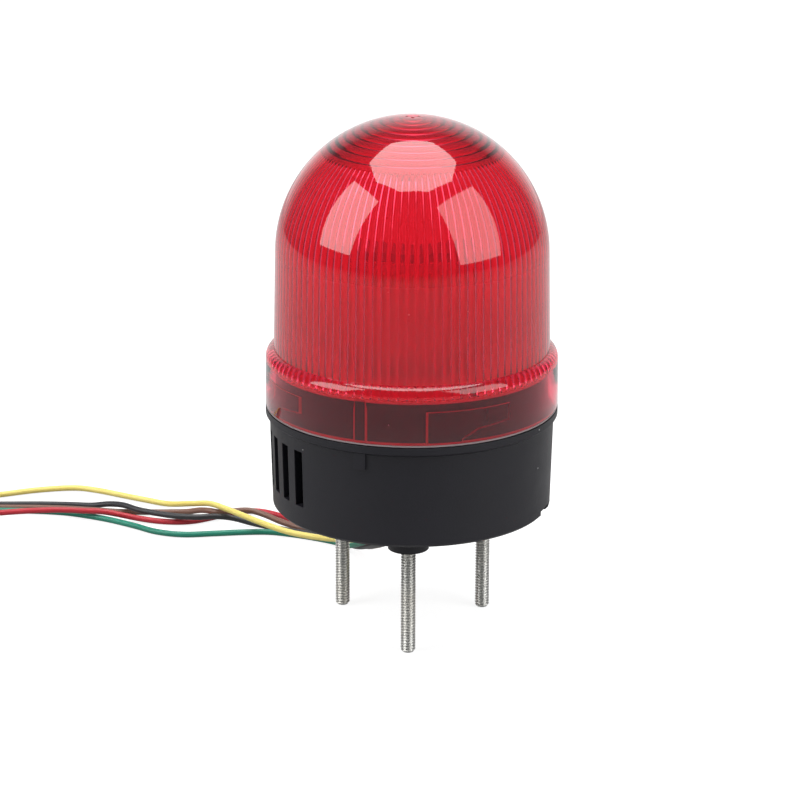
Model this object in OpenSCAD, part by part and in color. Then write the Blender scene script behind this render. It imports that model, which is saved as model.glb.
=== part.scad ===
// Signal beacon with sounder: a red fluted dome on a black stud-mounted base, with five flying leads.
// The seating faces of the stud bosses lie on z = 0, the dome's axis is +Z and the front stud is on -Y.

/* [Lens] */
// Outer radius of the lens skirt at its rim
skirt_r = 49; // [40:0.5:60]
// Draft of the skirt, taken off its radius at the top
skirt_draft = 0.2; // [0:0.05:1]
// Height of the straight part of the skirt
skirt_h = 15.9; // [14:0.1:24]
// Radius of the round shoulder above the skirt
shoulder_r = 3.4; // [1:0.1:4]
// How far the foot of the dome wall stands inside the rim
shoulder_step = 2.8; // [2:0.1:3.2]
// Wall of the skirt at its top
skirt_wall = 2.4; // [2.2:0.1:3]
// Room inside the lens above the deck's lip
bore_room = 0.7; // [0.5:0.1:2]
// Draft of the dome wall, taken off its radius at the top
dome_draft = 0.8; // [0:0.1:2]
// Height of the dome wall, from the top of the skirt to the centre of the round top
dome_wall_h = 35.5; // [20:0.5:60]
// Wall of the dome
lens_wall = 2.2; // [1.6:0.1:3]
// Flutes around the inside of the dome
flute_count = 100; // [40:2:120]
// Depth of a flute
flute_depth = 0.4; // [0.2:0.05:1]
// Angle from the apex at which the flutes end and the ring prisms begin
ring_zone = 41.8; // [20:0.1:60]
// Ring prisms in the cap
ring_count = 10; // [4:1:14]
// Depth of a ring prism
ring_depth = 0.35; // [0.2:0.05:1]
// Radius of the moulding mark at the apex
gate_r = 2.5; // [1:0.1:4]
// Depth of the moulding mark
gate_depth = 0.2; // [0.1:0.05:0.5]

/* [Bayonet] */
// Tracks in the skirt, and lugs on the collar
track_count = 4; // [3:1:4]
// Radial gap between the skirt and the collar, and between a lug and its track
turn_gap = 0.4; // [0.3:0.05:0.8]
// How far a lug stands out of the collar
lug_depth = 1.5; // [1:0.1:1.8]
// Play of a lug between the top and bottom of its track
lug_play = 1; // [0.8:0.1:2]
// Angle that a lug covers
lug_angle = 9.5; // [6:0.1:12]
// Angle between the front and the start of the first track
track_start = 7.8; // [0:0.1:30]
// Angle by which a track's open mouth is wider than a lug
mouth_play = 4.5; // [2:0.1:8]
// Angle of a track's closed pocket
pocket_angle = 21.2; // [14:0.1:30]
// Angle left between a seated lug and the end of its pocket
seat_play = 0.7; // [0.5:0.1:1.5]
// Height of the rib that holds the lug, above the rim
rib_h = 3.5; // [2:0.1:5.5]
// Height of a lug's track above that rib
track_h = 7.3; // [6:0.1:9]
// Part of the rib's height that its lead-in climbs
ramp_h = 2.3; // [0.4:0.1:3]
// Angle of the lead-in
ramp_angle = 5.5; // [2:0.5:8]
// Rise of the rib from the mouth to the end of the pocket, which draws the lens down
rib_rise = 1.7; // [0.2:0.1:2]

/* [Base] */
// How far the foot of the base stands inside the flange
foot_inset = 2.1; // [1:0.1:4]
// Draft of the base wall, added to its radius at the flange
base_draft = 0.8; // [0:0.1:2]
// Height of the base, from its underside to the flange's top
base_h = 34.7; // [28:0.1:50]
// Height of the flange's straight edge
flange_edge_h = 2.3; // [0.6:0.1:3]
// Height of the flange's sloping underside
flange_slope_h = 1; // [1:0.1:5]
// Chamfer at the foot of the base
foot_chamfer = 1; // [0.2:0.1:2]
// Wall of the base
base_wall = 2.6; // [2:0.1:4]
// Floor of the base
floor_t = 3; // [2:0.1:5]
// Height of the collar above the flange
collar_h = 14; // [12:0.1:16]
// Wall of the collar
collar_wall = 2.1; // [1.6:0.1:3]
// Width of the ledge that carries the deck
ledge_w = 3.4; // [2:0.1:5]
// Thickness of the ledge at its edge
ledge_t = 2; // [1.5:0.1:3]
// How far the ledge lies below the collar's top
ledge_drop = 4; // [2.5:0.1:6]
// Height of the seal ring
seal_t = 0.9; // [0.5:0.1:2]
// Width of the seal ring
seal_w = 2; // [1:0.1:2.4]
// How far the seal ring lies inside the rim
seal_inset = 0.1; // [0:0.05:0.5]
// How far the seal's foot lies inside the lip above it
seal_step = 0.8; // [0.3:0.1:0.9]

/* [Sound slots] */
// Slots in the left side of the base
slot_count = 6; // [1:1:8]
// Angle between slots
slot_pitch = 10; // [7:0.5:15]
// Angle from the front to the first slot
slot_start = 49.5; // [40:0.5:70]
// Width of a slot
slot_w = 4.2; // [2:0.1:5]
// Height of a slot
slot_h = 19.3; // [8:0.1:22]
// Height of a slot's lower end above the underside
slot_z = 8; // [5:0.1:12]

/* [Index and notch] */
// Angle from the front to the index tab
index_angle = 18.5; // [10:0.5:40]
// Width of the index tab and of the groove above it
index_w = 4; // [2:0.1:6]
// Height of the index tab
index_h = 5.5; // [2:0.1:8]
// How far the index tab's top lies below the flange's edge
index_drop = 0.5; // [0.5:0.1:3]
// How far the index tab stands out, and how deep its groove is
index_depth = 0.7; // [0.3:0.05:1]
// Angle from the front to the notch in the foot
notch_angle = 74.5; // [50:0.5:90]
// Width of the notch
notch_w = 9; // [4:0.5:14]
// Height and depth of the notch
notch_d = 2.4; // [1:0.1:2.5]

/* [Studs] */
// Diameter of the circle that the studs stand on
stud_pcd = 56; // [40:1:60]
// Thread diameter of a stud
stud_d = 5; // [4:1:6]
// How far a stud stands below its seat
stud_len = 37; // [15:1:60]
// Chamfer at a stud's tip
stud_chamfer = 0.6; // [0.2:0.1:1]
// How far a stud's neck, which its boss holds, stands out round the thread
neck_step = 0.5; // [0.3:0.1:1]
// Width across the flats of a stud's hex head
head_af = 8; // [7:0.5:10]
// Height of the hex head
head_h = 3.5; // [2.5:0.1:5]
// Diameter of a boss
boss_d = 13.6; // [11:0.1:18]
// Height of a boss below the underside
boss_h = 6.8; // [2:0.1:10]
// Radial room around a stud's neck in its hole, and around its head in its socket
stud_gap = 0.1; // [0.05:0.05:0.3]

/* [Circuit] */
// Radius of the main board
board_r = 34; // [30:0.5:34]
// Thickness of every board
board_t = 1.6; // [1:0.1:2]
// Height of the main board above the floor
board_lift = 8.2; // [6:0.1:12]
// Distance of the board screws from the board's edge
board_screw_inset = 5; // [4:0.5:8]
// Thread diameter of the small screws
screw_d = 3; // [2:0.5:3]
// Length of the small screws
screw_len = 8; // [5:0.5:8]
// Wall of a screw boss round its hole and below it
screw_boss_wall = 2; // [1.5:0.1:3]
// Diameter of the sounder
sounder_d = 23; // [16:0.5:25]
// Height of the sounder
sounder_h = 10; // [6:0.5:14]
// Distance of the sounder from the board's edge
sounder_inset = 1; // [0.5:0.5:3]
// Diameter of the capacitor
cap_d = 10; // [6:0.5:12]
// Height of the capacitor
cap_h = 16; // [10:0.5:18]
// Width of the regulator
reg_w = 10; // [8:0.5:12]
// Thickness of the regulator
reg_t = 4.5; // [3:0.1:6]
// Height of the regulator
reg_h = 15; // [10:0.5:18]
// Distance of the middles of the capacitor and the regulator from the board's edge
parts_inset = 14; // [12:0.5:15]

/* [Light source] */
// Thickness of the deck
deck_t = 2; // [1.5:0.1:3]
// Wall of the deck's upright rim
deck_rim_wall = 1; // [0.8:0.1:1.2]
// Thickness of the lip with which that rim covers the collar's top
deck_lip_t = 0.8; // [0.6:0.1:1.2]
// Diameter of the deck's centre hole
deck_hole_d = 8; // [6:0.5:10]
// How far the deck screws stand inside the ledge's edge
deck_screw_inset = 2.1; // [1.8:0.1:3]
// Width of the square mast
mast_w = 14; // [12:0.5:20]
// Wall of the mast
mast_wall = 1.5; // [1:0.1:2]
// Height of the mast above the deck
mast_h = 41; // [30:0.5:50]
// Width of the mast's square foot on each side of the mast
mast_foot_rim = 6; // [5.5:0.1:8]
// Thickness of the mast's foot
mast_foot_t = 2; // [1.5:0.1:3]
// Distance of the mast screws from the edges of the foot
mast_screw_inset = 3.3; // [3:0.1:4]
// Height of the terminal inside the mast
terminal_h = 6; // [4:0.5:10]
// Diameter of the leads from the main board to the terminal
inner_lead_d = 1.6; // [1:0.1:2]
// How far a lamp board stays inside the mast's sides
led_side_gap = 0.5; // [0.2:0.1:2]
// How far a lamp board stays above the mast's foot
led_foot_gap = 1; // [0.5:0.1:3]
// How far a lamp board stays below the mast's top
led_top_gap = 3; // [1:0.5:6]
// Lamps on each board
led_count = 3; // [1:1:4]
// Width of a lamp
led_w = 5; // [3:0.1:6]
// Thickness of a lamp
led_t = 1.5; // [0.8:0.1:2.5]

/* [Leads] */
// Outer diameter of a lead
wire_d = 2.2; // [1.2:0.1:2.4]
// Diameter of a lead's bare core
core_d = 1.2; // [0.6:0.1:1.2]
// Length of a lead's bare end
bare_len = 7; // [4:1:12]
// Radius of the circle that the leads leave on
exit_r = 3.4; // [3:0.1:5]
// Radius of the grommet where it fills its hole
grommet_r = 7.9; // [6:0.1:9]
// How far the grommet's lips stand out round the hole
lip_w = 2; // [1:0.1:3]
// Thickness of a lip
lip_t = 1.8; // [1:0.1:3]

/* [Hidden] */
$fn = 96;

// Overlap that keeps cuts from sharing a face with what they cut
over = 1;
// Overlap that joins the parts of one solid
touch = 0.1;
// Assembly gap between pieces of the circuit and the parts around them
fit_gap = 0.2;

// Height over which the room in the base narrows to the collar
neck_h = 2;
// Angle between the last flute and the first ring, and where in its width a ring's ridge starts and peaks
ring_gap = 0.7;
ring_flat = 0.6;
ring_crest = 0.8;
// Share of the seal's height that its lip takes
seal_lip_share = 0.55;
// Share of a lamp's width that its window takes
window_share = 0.8;

// Small pan-head screws and their bosses
screw_head_d = 1.9 * screw_d;
screw_head_h = 0.7 * screw_d;
screw_drive_d = 0.8 * screw_d;
screw_boss_d = screw_d + 2 * screw_boss_wall;

// Heights
under_z = boss_h;
floor_z = under_z + floor_t;
flange_z = under_z + base_h;
rim_z = flange_z + seal_t;
collar_z = flange_z + collar_h;
ledge_z = collar_z - ledge_drop;
deck_z = ledge_z + deck_t;
lip_z = collar_z + deck_lip_t;
board_z = floor_z + board_lift;
board_top_z = board_z + board_t;
skirt_z = rim_z + skirt_h;
dome_z = skirt_z + dome_wall_h;
rib_z = rim_z + rib_h;
track_z = rib_z + track_h;
lug_h = track_h - rib_rise - lug_play;
lug_z = rib_z + rib_rise + turn_gap;

// Radii
skirt_top_r = skirt_r - skirt_draft;
dome_foot_r = skirt_r - shoulder_step;
dome_r = dome_foot_r - dome_draft;
foot_r = skirt_r - foot_inset;
flange_wall_r = foot_r + base_draft;
bore_r = skirt_top_r - skirt_wall;
collar_r = bore_r - turn_gap;
lug_r = collar_r + lug_depth;
track_r = lug_r + turn_gap;
collar_bore_r = collar_r - collar_wall;
ledge_r = collar_bore_r - ledge_w;
deck_r = collar_bore_r - fit_gap;
deck_lip_r = collar_r - fit_gap;
base_bore_r = foot_r - base_wall;
dome_bore_r = dome_r - lens_wall;
neck_r = stud_d / 2 + neck_step;

board_screw_r = board_r - board_screw_inset;
deck_screw_r = ledge_r - deck_screw_inset;

// Bayonet angles from the front
mouth_angle = lug_angle + mouth_play;
lug_start = track_start + mouth_angle + pocket_angle - lug_angle - seat_play;

// The mast and its lamp boards
mast_foot_w = mast_w + 2 * mast_foot_rim;
led_board_w = mast_w - 2 * led_side_gap;
led_board_h = mast_h - mast_foot_t - led_foot_gap - led_top_gap;

// The lens bore ends just above the deck's lip
bore_top_z = lip_z + bore_room;
// Slope of the dome wall, in radius for each millimetre of height
dome_slope = dome_draft / dome_wall_h;
// Rows of the fluted cavity: bottom of the wall, then steps over the round top
flute_rows = 6;

stud_angles = [0, 120, 240];
board_screw_angles = [60, 180, 300];
deck_screw_angles = [30, 150, 270];
// The parts on the board stand between its screws
cap_angle = 0;
reg_angle = 120;
sounder_angle = 240;
wire_angles = [199, 343, 271, 55, 127];
// How far the two leads to the mast stand from the axis
lead_x = 2;
// Sides of a lead, and a direction that no lead runs along, which keeps its rings from twisting
wire_sides = 8;
wire_reference = [0.6, 0.8, 0];

red_clear = [0.78, 0.06, 0.12, 0.75];
black_plastic = [0.15, 0.15, 0.16];
pale_seal = [0.75, 0.7, 0.7];
zinc = [0.6, 0.6, 0.58];
board_green = [0.1, 0.35, 0.2];
reflector_white = [0.93, 0.93, 0.92];

// The way every lead leaves the grommet, from its own hole, with z from the seat
first_bend = [[0, 0, 1.5], [-0.8, 2.2, -4], [-3.2, 8.5, -9.2]];
// Routes of the leads from there to the far end, chosen by hand
route_yellow = [
    [-13, 19, -14.5], [-19, 32, -20], [-25, 45, -25], [-30, 55, -28.6], [-38, 62.5, -30.6],
    [-47, 69, -31.4], [-56, 76, -31.2], [-65, 83.5, -30.6], [-73, 91, -30.4], [-79, 97, -30.9],
    [-86, 102.5, -33], [-96, 109, -35.6], [-105, 113.5, -35.8], [-115, 118.5, -35.8],
    [-125, 123.5, -35.8], [-134, 126, -35.8], [-148, 123, -35.8], [-162, 117, -35.8],
    [-176, 112, -35.8], [-190, 109, -35.8], [-204, 108, -35.8]];
route_brown = [
    [-1, 12.5, -13], [-4.5, 22.5, -16.5], [-9.5, 36, -22.5], [-14, 49, -28.5], [-19, 61.5, -33.5],
    [-26, 74.5, -35.7], [-31, 79, -35.8], [-38, 82.6, -35.8], [-45, 86, -35.7], [-52, 90.5, -35.2],
    [-58, 94.5, -34.2],
    [-64, 96.7, -33.3], [-70, 95.5, -33.2], [-75, 94, -33.2], [-79, 95.5, -33.2], [-83, 98, -34],
    [-88, 100, -35.4], [-96, 100.3, -35.8], [-106, 100, -35.8], [-114, 100, -35.8],
    [-124, 101.5, -35.8], [-136, 102.8, -35.8], [-148, 103, -35.8], [-162, 102.6, -35.8],
    [-176, 102, -35.8], [-190, 101.5, -35.8], [-203, 101, -35.8]];
route_black = [
    [-8.5, 21, -16.5], [-13.5, 35, -23], [-17.6, 49.4, -29], [-22.6, 62.2, -33.8], [-30, 74, -35.7],
    [-39, 78.8, -35.8], [-48, 82.3, -35.8], [-56, 86.3, -35.8], [-63, 89.5, -35.5], [-70, 91, -34.3],
    [-76, 90, -33.4], [-82, 88.3, -33.2], [-88, 88.5, -33.2], [-94, 90, -33.2], [-100, 92.5, -33.2],
    [-106, 95.5, -33.2], [-112, 99.7, -33], [-118, 103.4, -34], [-125, 106, -35.6],
    [-134, 107, -35.8], [-146, 107, -35.8], [-160, 106.2, -35.8], [-174, 105.6, -35.8],
    [-188, 105.2, -35.8], [-201, 105, -35.8]];
route_red = [
    [-2, 26, -16], [-6, 39, -22.5], [-10, 52, -28.5], [-14.5, 64, -33.2], [-21, 75.5, -35.6],
    [-27, 82, -35.8], [-34, 86, -35.8], [-41, 89.3, -35.8], [-47, 93.3, -35.8], [-53, 98.5, -35.8],
    [-60, 102.5, -35.8], [-66, 102.8, -35.8], [-72, 99.8, -35.8], [-78, 95.2, -35.8],
    [-84, 91.3, -35.8], [-90, 89.8, -35.8], [-98, 90.5, -35.8], [-106, 92.3, -35.4], [-113, 93, -34.3],
    [-119, 93, -33.3], [-126, 93.3, -33.2], [-136, 93.8, -33.2], [-148, 93.5, -33.7],
    [-160, 92.8, -34.6], [-172, 92.2, -35.6], [-185, 91.8, -35.8], [-198, 91.5, -35.8]];
route_green = [
    [-10, 23, -15], [-15.5, 36, -21.5], [-20.5, 49, -28], [-25.5, 61, -33.2], [-31, 71, -35.6],
    [-39, 75.5, -35.8], [-47, 78.5, -35.8], [-55, 80.5, -35.8], [-64, 80, -35.8], [-76, 78, -35.8],
    [-87, 76.5, -35.8], [-97, 79, -35.8], [-106, 85, -35.8], [-116, 91, -35.8], [-125, 95, -35.8],
    [-134, 98, -35.8], [-146, 99.3, -35.8], [-160, 99.3, -35.8], [-174, 98.8, -35.8],
    [-188, 98.2, -35.8], [-200, 97.8, -35.8],
    [-212, 97.4, -35.8]];

// A place at an angle from the front, turning to the right as seen from the front
function around(radius, angle) = [radius * sin(angle), -radius * cos(angle)];

// Turns children so that their +X points away from the axis at an angle from the front
module at_angle(angle) rotate([0, 0, angle - 90]) children();

// A block of a ring: radii, heights and the angles from the front that it covers
module ring_block(inner, outer, low, high, start, sweep)
    at_angle(start)
        rotate_extrude(angle = sweep)
            translate([inner, low])
                square([outer - inner, high - low]);

// Places of the studs, and of the board and deck screws at a height
module stud_places() for (angle = stud_angles) translate(around(stud_pcd / 2, angle)) children();
module board_screw_places(z)
    for (angle = board_screw_angles) translate(concat(around(board_screw_r, angle), z)) children();
module deck_screw_places(z)
    for (angle = deck_screw_angles) translate(concat(around(deck_screw_r, angle), z)) children();

// One small pan-head screw with its head on z = 0 and its shank below
module small_screw() {
    translate([0, 0, -screw_len]) cylinder(d = screw_d, h = screw_len + touch);
    difference() {
        cylinder(d = screw_head_d, h = screw_head_h);
        translate([0, 0, screw_head_h / 2]) cylinder(d = screw_drive_d, h = screw_head_h, $fn = 6);
    }
}

// Half-section of the lens as a solid, from its axis outwards
module lens_outline() {
    polygon([[0, rim_z], [skirt_r, rim_z], [skirt_top_r, skirt_z], [0, skirt_z]]);
    translate([skirt_top_r - shoulder_r, skirt_z]) circle(shoulder_r);
    polygon([[0, skirt_z - over], [dome_foot_r, skirt_z - over], [dome_foot_r, skirt_z],
        [dome_r, dome_z], [0, dome_z]]);
    intersection() {
        translate([0, dome_z]) circle(dome_r);
        translate([0, dome_z - over]) square([dome_r + over, dome_r + 2 * over]);
    }
}

// A point of the fluted cavity: row 0 is the foot of the wall, the others step over the round top
function flute_radius(col) = dome_bore_r - (col % 2) * flute_depth;
function flute_polar(row) = 90 - (row - 1) * (90 - ring_zone) / flute_rows;
function flute_low_z() = bore_top_z - over;
function flute_point(row, col) =
    let (turn = col * 180 / flute_count, r = flute_radius(col))
    let (low_r = r + (dome_z - flute_low_z()) * dome_slope, polar = flute_polar(row))
    let (out = row == 0 ? low_r : r * sin(polar))
    let (z = row == 0 ? flute_low_z() : dome_z + r * cos(polar))
    concat(around(out, turn), [z]);

// The hollow of the dome with its flutes, closed by a fan at each end
module fluted_hollow() {
    cols = 2 * flute_count;
    rows = flute_rows + 2;
    points = [for (row = [0 : rows - 1]) for (col = [0 : cols - 1]) flute_point(row, col)];
    low = [0, 0, flute_low_z()];
    high = [0, 0, flute_point(rows - 1, 1)[2]];
    low_i = len(points);
    high_i = low_i + 1;
    top = (rows - 1) * cols;
    sides = [for (row = [0 : rows - 2]) for (col = [0 : cols - 1])
        let (next = (col + 1) % cols, a = row * cols + col, b = row * cols + next)
        each [[a, a + cols, b], [b, a + cols, b + cols]]];
    lids = [for (col = [0 : cols - 1]) let (next = (col + 1) % cols)
        each [[col, next, low_i], [top + next, top + col, high_i]]];
    polyhedron(concat(points, [low, high]), concat(sides, lids));
}

// A point of the cap's inside, at a radius from the dome's centre and an angle from the apex
function cap_point(radius, polar) = [radius * sin(polar), dome_z + radius * cos(polar)];

// The hollow of the cap with its ring prisms
module ringed_hollow() {
    first = ring_zone - ring_gap;
    step = first / ring_count;
    low_z = cap_point(dome_bore_r - 2 * flute_depth, first)[1] - over;
    teeth = [for (i = [0 : ring_count - 1]) each [
        cap_point(dome_bore_r, first - i * step),
        cap_point(dome_bore_r, first - (i + ring_flat) * step),
        cap_point(dome_bore_r - ring_depth, first - (i + ring_crest) * step)]];
    rotate_extrude()
        polygon(concat(
            [[0, low_z], [cap_point(dome_bore_r - 3 * flute_depth, first)[0], low_z]],
            teeth,
            [[0, dome_z + dome_bore_r]]));
}

// A slab under a pocket that rises from its mouth on, given its height above the rim there and its slope
module rib_slab(height, slope)
    multmatrix([[1, 0, 0, 0], [0, 1, 0, 0], [0, slope, 1, 0], [0, 0, 0, 1]])
        translate([0, 0, rim_z - 2 * over])
            cube([track_r + over, track_r, height + 2 * over]);

// One bayonet track, cut in from the bore: its open mouth, and its pocket above the rib with its lead-in
module bayonet_track(start)
    difference() {
        ring_block(bore_r - over, track_r, rim_z - over, track_z, start, mouth_angle + pocket_angle);
        at_angle(start + mouth_angle)
            intersection() {
                rib_slab(rib_h, rib_rise / (track_r * sin(pocket_angle)));
                rib_slab(rib_h - ramp_h, ramp_h / (track_r * sin(ramp_angle)));
            }
    }

module lens()
    color(red_clear)
        difference() {
            rotate_extrude() lens_outline();
            translate([0, 0, rim_z - over]) cylinder(r = bore_r, h = bore_top_z - rim_z + over);
            fluted_hollow();
            ringed_hollow();
            for (i = [0 : track_count - 1]) bayonet_track(track_start + i * 360 / track_count);
            at_angle(-index_angle)
                translate([bore_r - over, -index_w / 2, rim_z - over])
                    cube([over + index_depth, index_w, bore_top_z - rim_z + over]);
            translate([0, 0, dome_z + dome_r - gate_depth]) difference() {
                cylinder(r = gate_r, h = gate_depth + over);
                cylinder(r = gate_r / 4, h = gate_depth + over);
            }
        }

// Half-section of the base as a solid
module base_outline()
    polygon([[0, under_z], [foot_r - foot_chamfer, under_z], [foot_r, under_z + foot_chamfer],
        [flange_wall_r, flange_z - flange_edge_h - flange_slope_h], [skirt_r, flange_z - flange_edge_h],
        [skirt_r, flange_z], [collar_r, flange_z], [collar_r, collar_z], [0, collar_z]]);

// Half-section of the room inside the base, with the ledge for the deck
module base_room()
    polygon([[0, floor_z], [base_bore_r, floor_z], [base_bore_r, flange_z - 2 * neck_h],
        [collar_bore_r, flange_z - neck_h], [collar_bore_r, ledge_z - ledge_w - ledge_t],
        [ledge_r, ledge_z - ledge_t], [ledge_r, ledge_z], [collar_bore_r, ledge_z],
        [collar_bore_r, collar_z + over], [0, collar_z + over]]);

// A hex prism for a stud's head or its socket
module hex(across_flats, height) cylinder(r = across_flats / 2 / cos(30), h = height, $fn = 6);

module base_housing()
    color(black_plastic)
        difference() {
            union() {
                difference() {
                    rotate_extrude() base_outline();
                    rotate_extrude() base_room();
                }
                stud_places() {
                    cylinder(d = boss_d, h = boss_h + over);
                    translate([0, 0, floor_z - over]) cylinder(d = boss_d, h = head_h + over);
                }
                board_screw_places(floor_z - over)
                    cylinder(d = screw_boss_d, h = board_lift + over);
                deck_screw_places(ledge_z - screw_len - screw_boss_wall)
                    cylinder(d = screw_boss_d, h = screw_len + screw_boss_wall);
                for (i = [0 : track_count - 1])
                    ring_block(collar_r - over, lug_r, lug_z, lug_z + lug_h,
                        lug_start + i * 360 / track_count, lug_angle);
                at_angle(-index_angle)
                    translate([foot_r - over, -index_w / 2, flange_z - flange_edge_h - index_drop - index_h])
                        cube([over + base_draft + index_depth, index_w, index_h]);
            }
            stud_places() {
                translate([0, 0, -over]) cylinder(r = neck_r + stud_gap, h = floor_z + 2 * over);
                translate([0, 0, floor_z]) hex(head_af + 2 * stud_gap, head_h + over);
            }
            translate([0, 0, under_z - over]) cylinder(r = grommet_r + stud_gap, h = floor_t + 2 * over);
            board_screw_places(board_z - screw_len)
                cylinder(d = screw_d + 2 * stud_gap, h = screw_len + over);
            deck_screw_places(ledge_z - screw_len)
                cylinder(d = screw_d + 2 * stud_gap, h = screw_len + over);
            for (i = [0 : slot_count - 1]) at_angle(-slot_start - i * slot_pitch)
                translate([base_bore_r - over, -slot_w / 2, under_z + slot_z])
                    cube([base_wall + base_draft + 2 * over, slot_w, slot_h]);
            at_angle(notch_angle)
                translate([foot_r - notch_d, -notch_w / 2, under_z - over])
                    cube([notch_d + over, notch_w, notch_d + over]);
        }

// The seal: a ring on the flange, with a lip that reaches out under the lens rim
module seal_ring() {
    outer = skirt_r - seal_inset;
    inner = outer - seal_w;
    lip_low_z = rim_z - seal_lip_share * seal_t;
    color(pale_seal)
        rotate_extrude()
            polygon([[inner, flange_z], [outer - seal_step, flange_z], [outer - seal_step, lip_low_z],
                [outer, lip_low_z], [outer, rim_z], [inner, rim_z]]);
}

// Half-section of the deck: a shallow dish whose lip lies on the collar
module deck_outline()
    polygon([[0, ledge_z], [deck_r, ledge_z], [deck_r, collar_z], [deck_lip_r, collar_z], [deck_lip_r, lip_z],
        [deck_r - deck_rim_wall, lip_z], [deck_r - deck_rim_wall, deck_z], [0, deck_z]]);

module deck_plate()
    color(reflector_white)
        difference() {
            rotate_extrude() deck_outline();
            translate([0, 0, ledge_z - over]) cylinder(d = deck_hole_d, h = deck_t + 2 * over);
            deck_screw_places(ledge_z - over)
                cylinder(d = screw_d + 2 * stud_gap, h = deck_t + 2 * over);
            mast_screw_holes(ledge_z - over, deck_t + 2 * over);
        }

module deck_screws()
    color(zinc) deck_screw_places(deck_z) small_screw();

// Places of the four screws in the mast's foot
module mast_screw_places()
    for (x = [-1, 1]) for (y = [-1, 1])
        translate([x, y, 0] * (mast_foot_w / 2 - mast_screw_inset)) children();

module mast_screw_holes(low, height)
    mast_screw_places() translate([0, 0, low]) cylinder(d = screw_d + 2 * stud_gap, h = height);

module led_mast()
    color([0.8, 0.81, 0.82])
        translate([0, 0, deck_z])
            difference() {
                union() {
                    translate([-mast_w / 2, -mast_w / 2, 0]) cube([mast_w, mast_w, mast_h]);
                    translate([-mast_foot_w / 2, -mast_foot_w / 2, 0])
                        cube([mast_foot_w, mast_foot_w, mast_foot_t]);
                }
                translate([mast_wall - mast_w / 2, mast_wall - mast_w / 2, -over])
                    cube([mast_w - 2 * mast_wall, mast_w - 2 * mast_wall, mast_h - mast_wall + over]);
                mast_screw_holes(-over, mast_foot_t + 2 * over);
            }

module mast_screws()
    color(zinc) mast_screw_places() translate([0, 0, deck_z + mast_foot_t]) small_screw();

// The block inside the mast that the inner leads end in
module mast_terminal() {
    width = mast_w - 2 * mast_wall - 2 * fit_gap;
    color([0.9, 0.9, 0.85])
        translate([-width / 2, -width / 2, deck_z])
            cube([width, width, terminal_h]);
}

module mast_leads()
    color([0.85, 0.85, 0.85])
        for (x = [-lead_x, lead_x]) translate([x, 0, board_top_z])
            cylinder(d = inner_lead_d, h = deck_z - board_top_z);

// Turns children so that their +X faces the side that a lamp board is on
module led_side(angle)
    at_angle(angle) translate([mast_w / 2, 0, deck_z + mast_foot_t + led_foot_gap]) children();

module led_board(angle)
    color(reflector_white)
        led_side(angle) translate([0, -led_board_w / 2, 0]) cube([board_t, led_board_w, led_board_h]);

module led_emitters(angle)
    color([0.97, 0.95, 0.85])
        led_side(angle)
            for (i = [0 : led_count - 1])
                translate([board_t, -led_w / 2, (i + 0.5) * led_board_h / led_count - led_w / 2])
                    difference() {
                        cube([led_t, led_w, led_w]);
                        translate([led_t / 2, led_w / 2, led_w / 2])
                            rotate([0, 90, 0]) cylinder(d = led_w * window_share, h = led_t);
                    }

module main_board()
    color(board_green)
        translate([0, 0, board_z])
            difference() {
                cylinder(r = board_r, h = board_t);
                board_screw_places(-over)
                    cylinder(d = screw_d + 2 * stud_gap, h = board_t + 2 * over);
            }

module board_screws()
    color(zinc) board_screw_places(board_top_z) small_screw();

module sounder()
    color([0.12, 0.12, 0.12])
        translate(concat(around(board_r - sounder_d / 2 - sounder_inset, sounder_angle), board_top_z))
            difference() {
                cylinder(d = sounder_d, h = sounder_h);
                translate([0, 0, sounder_h / 2]) cylinder(d = sounder_d / 8, h = sounder_h);
            }

module capacitor()
    color([0.15, 0.2, 0.35])
        translate(concat(around(board_r - parts_inset, cap_angle), board_top_z))
            cylinder(d = cap_d, h = cap_h);

module regulator()
    color([0.2, 0.2, 0.2])
        at_angle(reg_angle)
            translate([board_r - parts_inset - reg_t / 2, -reg_w / 2, board_top_z])
                cube([reg_t, reg_w, reg_h]);

module cable_grommet()
    color([0.1, 0.1, 0.1])
        difference() {
            union() {
                translate([0, 0, under_z - lip_t]) cylinder(r = grommet_r, h = floor_t + 2 * lip_t);
                translate([0, 0, under_z - lip_t]) cylinder(r = grommet_r + lip_w, h = lip_t);
                translate([0, 0, floor_z]) cylinder(r = grommet_r + lip_w, h = lip_t);
            }
            for (angle = wire_angles)
                translate([exit_r * cos(angle), exit_r * sin(angle), under_z - lip_t - over])
                    cylinder(d = wire_d + 2 * stud_gap, h = floor_t + 2 * lip_t + 2 * over);
        }

module stud(angle)
    color(zinc)
        translate(around(stud_pcd / 2, angle)) {
            translate([0, 0, -stud_len])
                cylinder(d1 = stud_d - 2 * stud_chamfer, d2 = stud_d, h = stud_chamfer);
            translate([0, 0, stud_chamfer - stud_len]) cylinder(d = stud_d, h = stud_len - stud_chamfer);
            cylinder(r = neck_r, h = floor_z);
            translate([0, 0, floor_z]) hex(head_af, head_h);
        }

// A round section of a lead at a point of its path
function unit(v) = v / norm(v);
function tangent(path, i) = unit(path[min(i + 1, len(path) - 1)] - path[max(i - 1, 0)]);
function ring(path, i, radius) =
    let (t = tangent(path, i), u = unit(cross(t, wire_reference)), v = cross(t, u))
    [for (k = [0 : wire_sides - 1]) let (a = k * 360 / wire_sides)
        path[i] + radius * (u * cos(a) + v * sin(a))];

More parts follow.
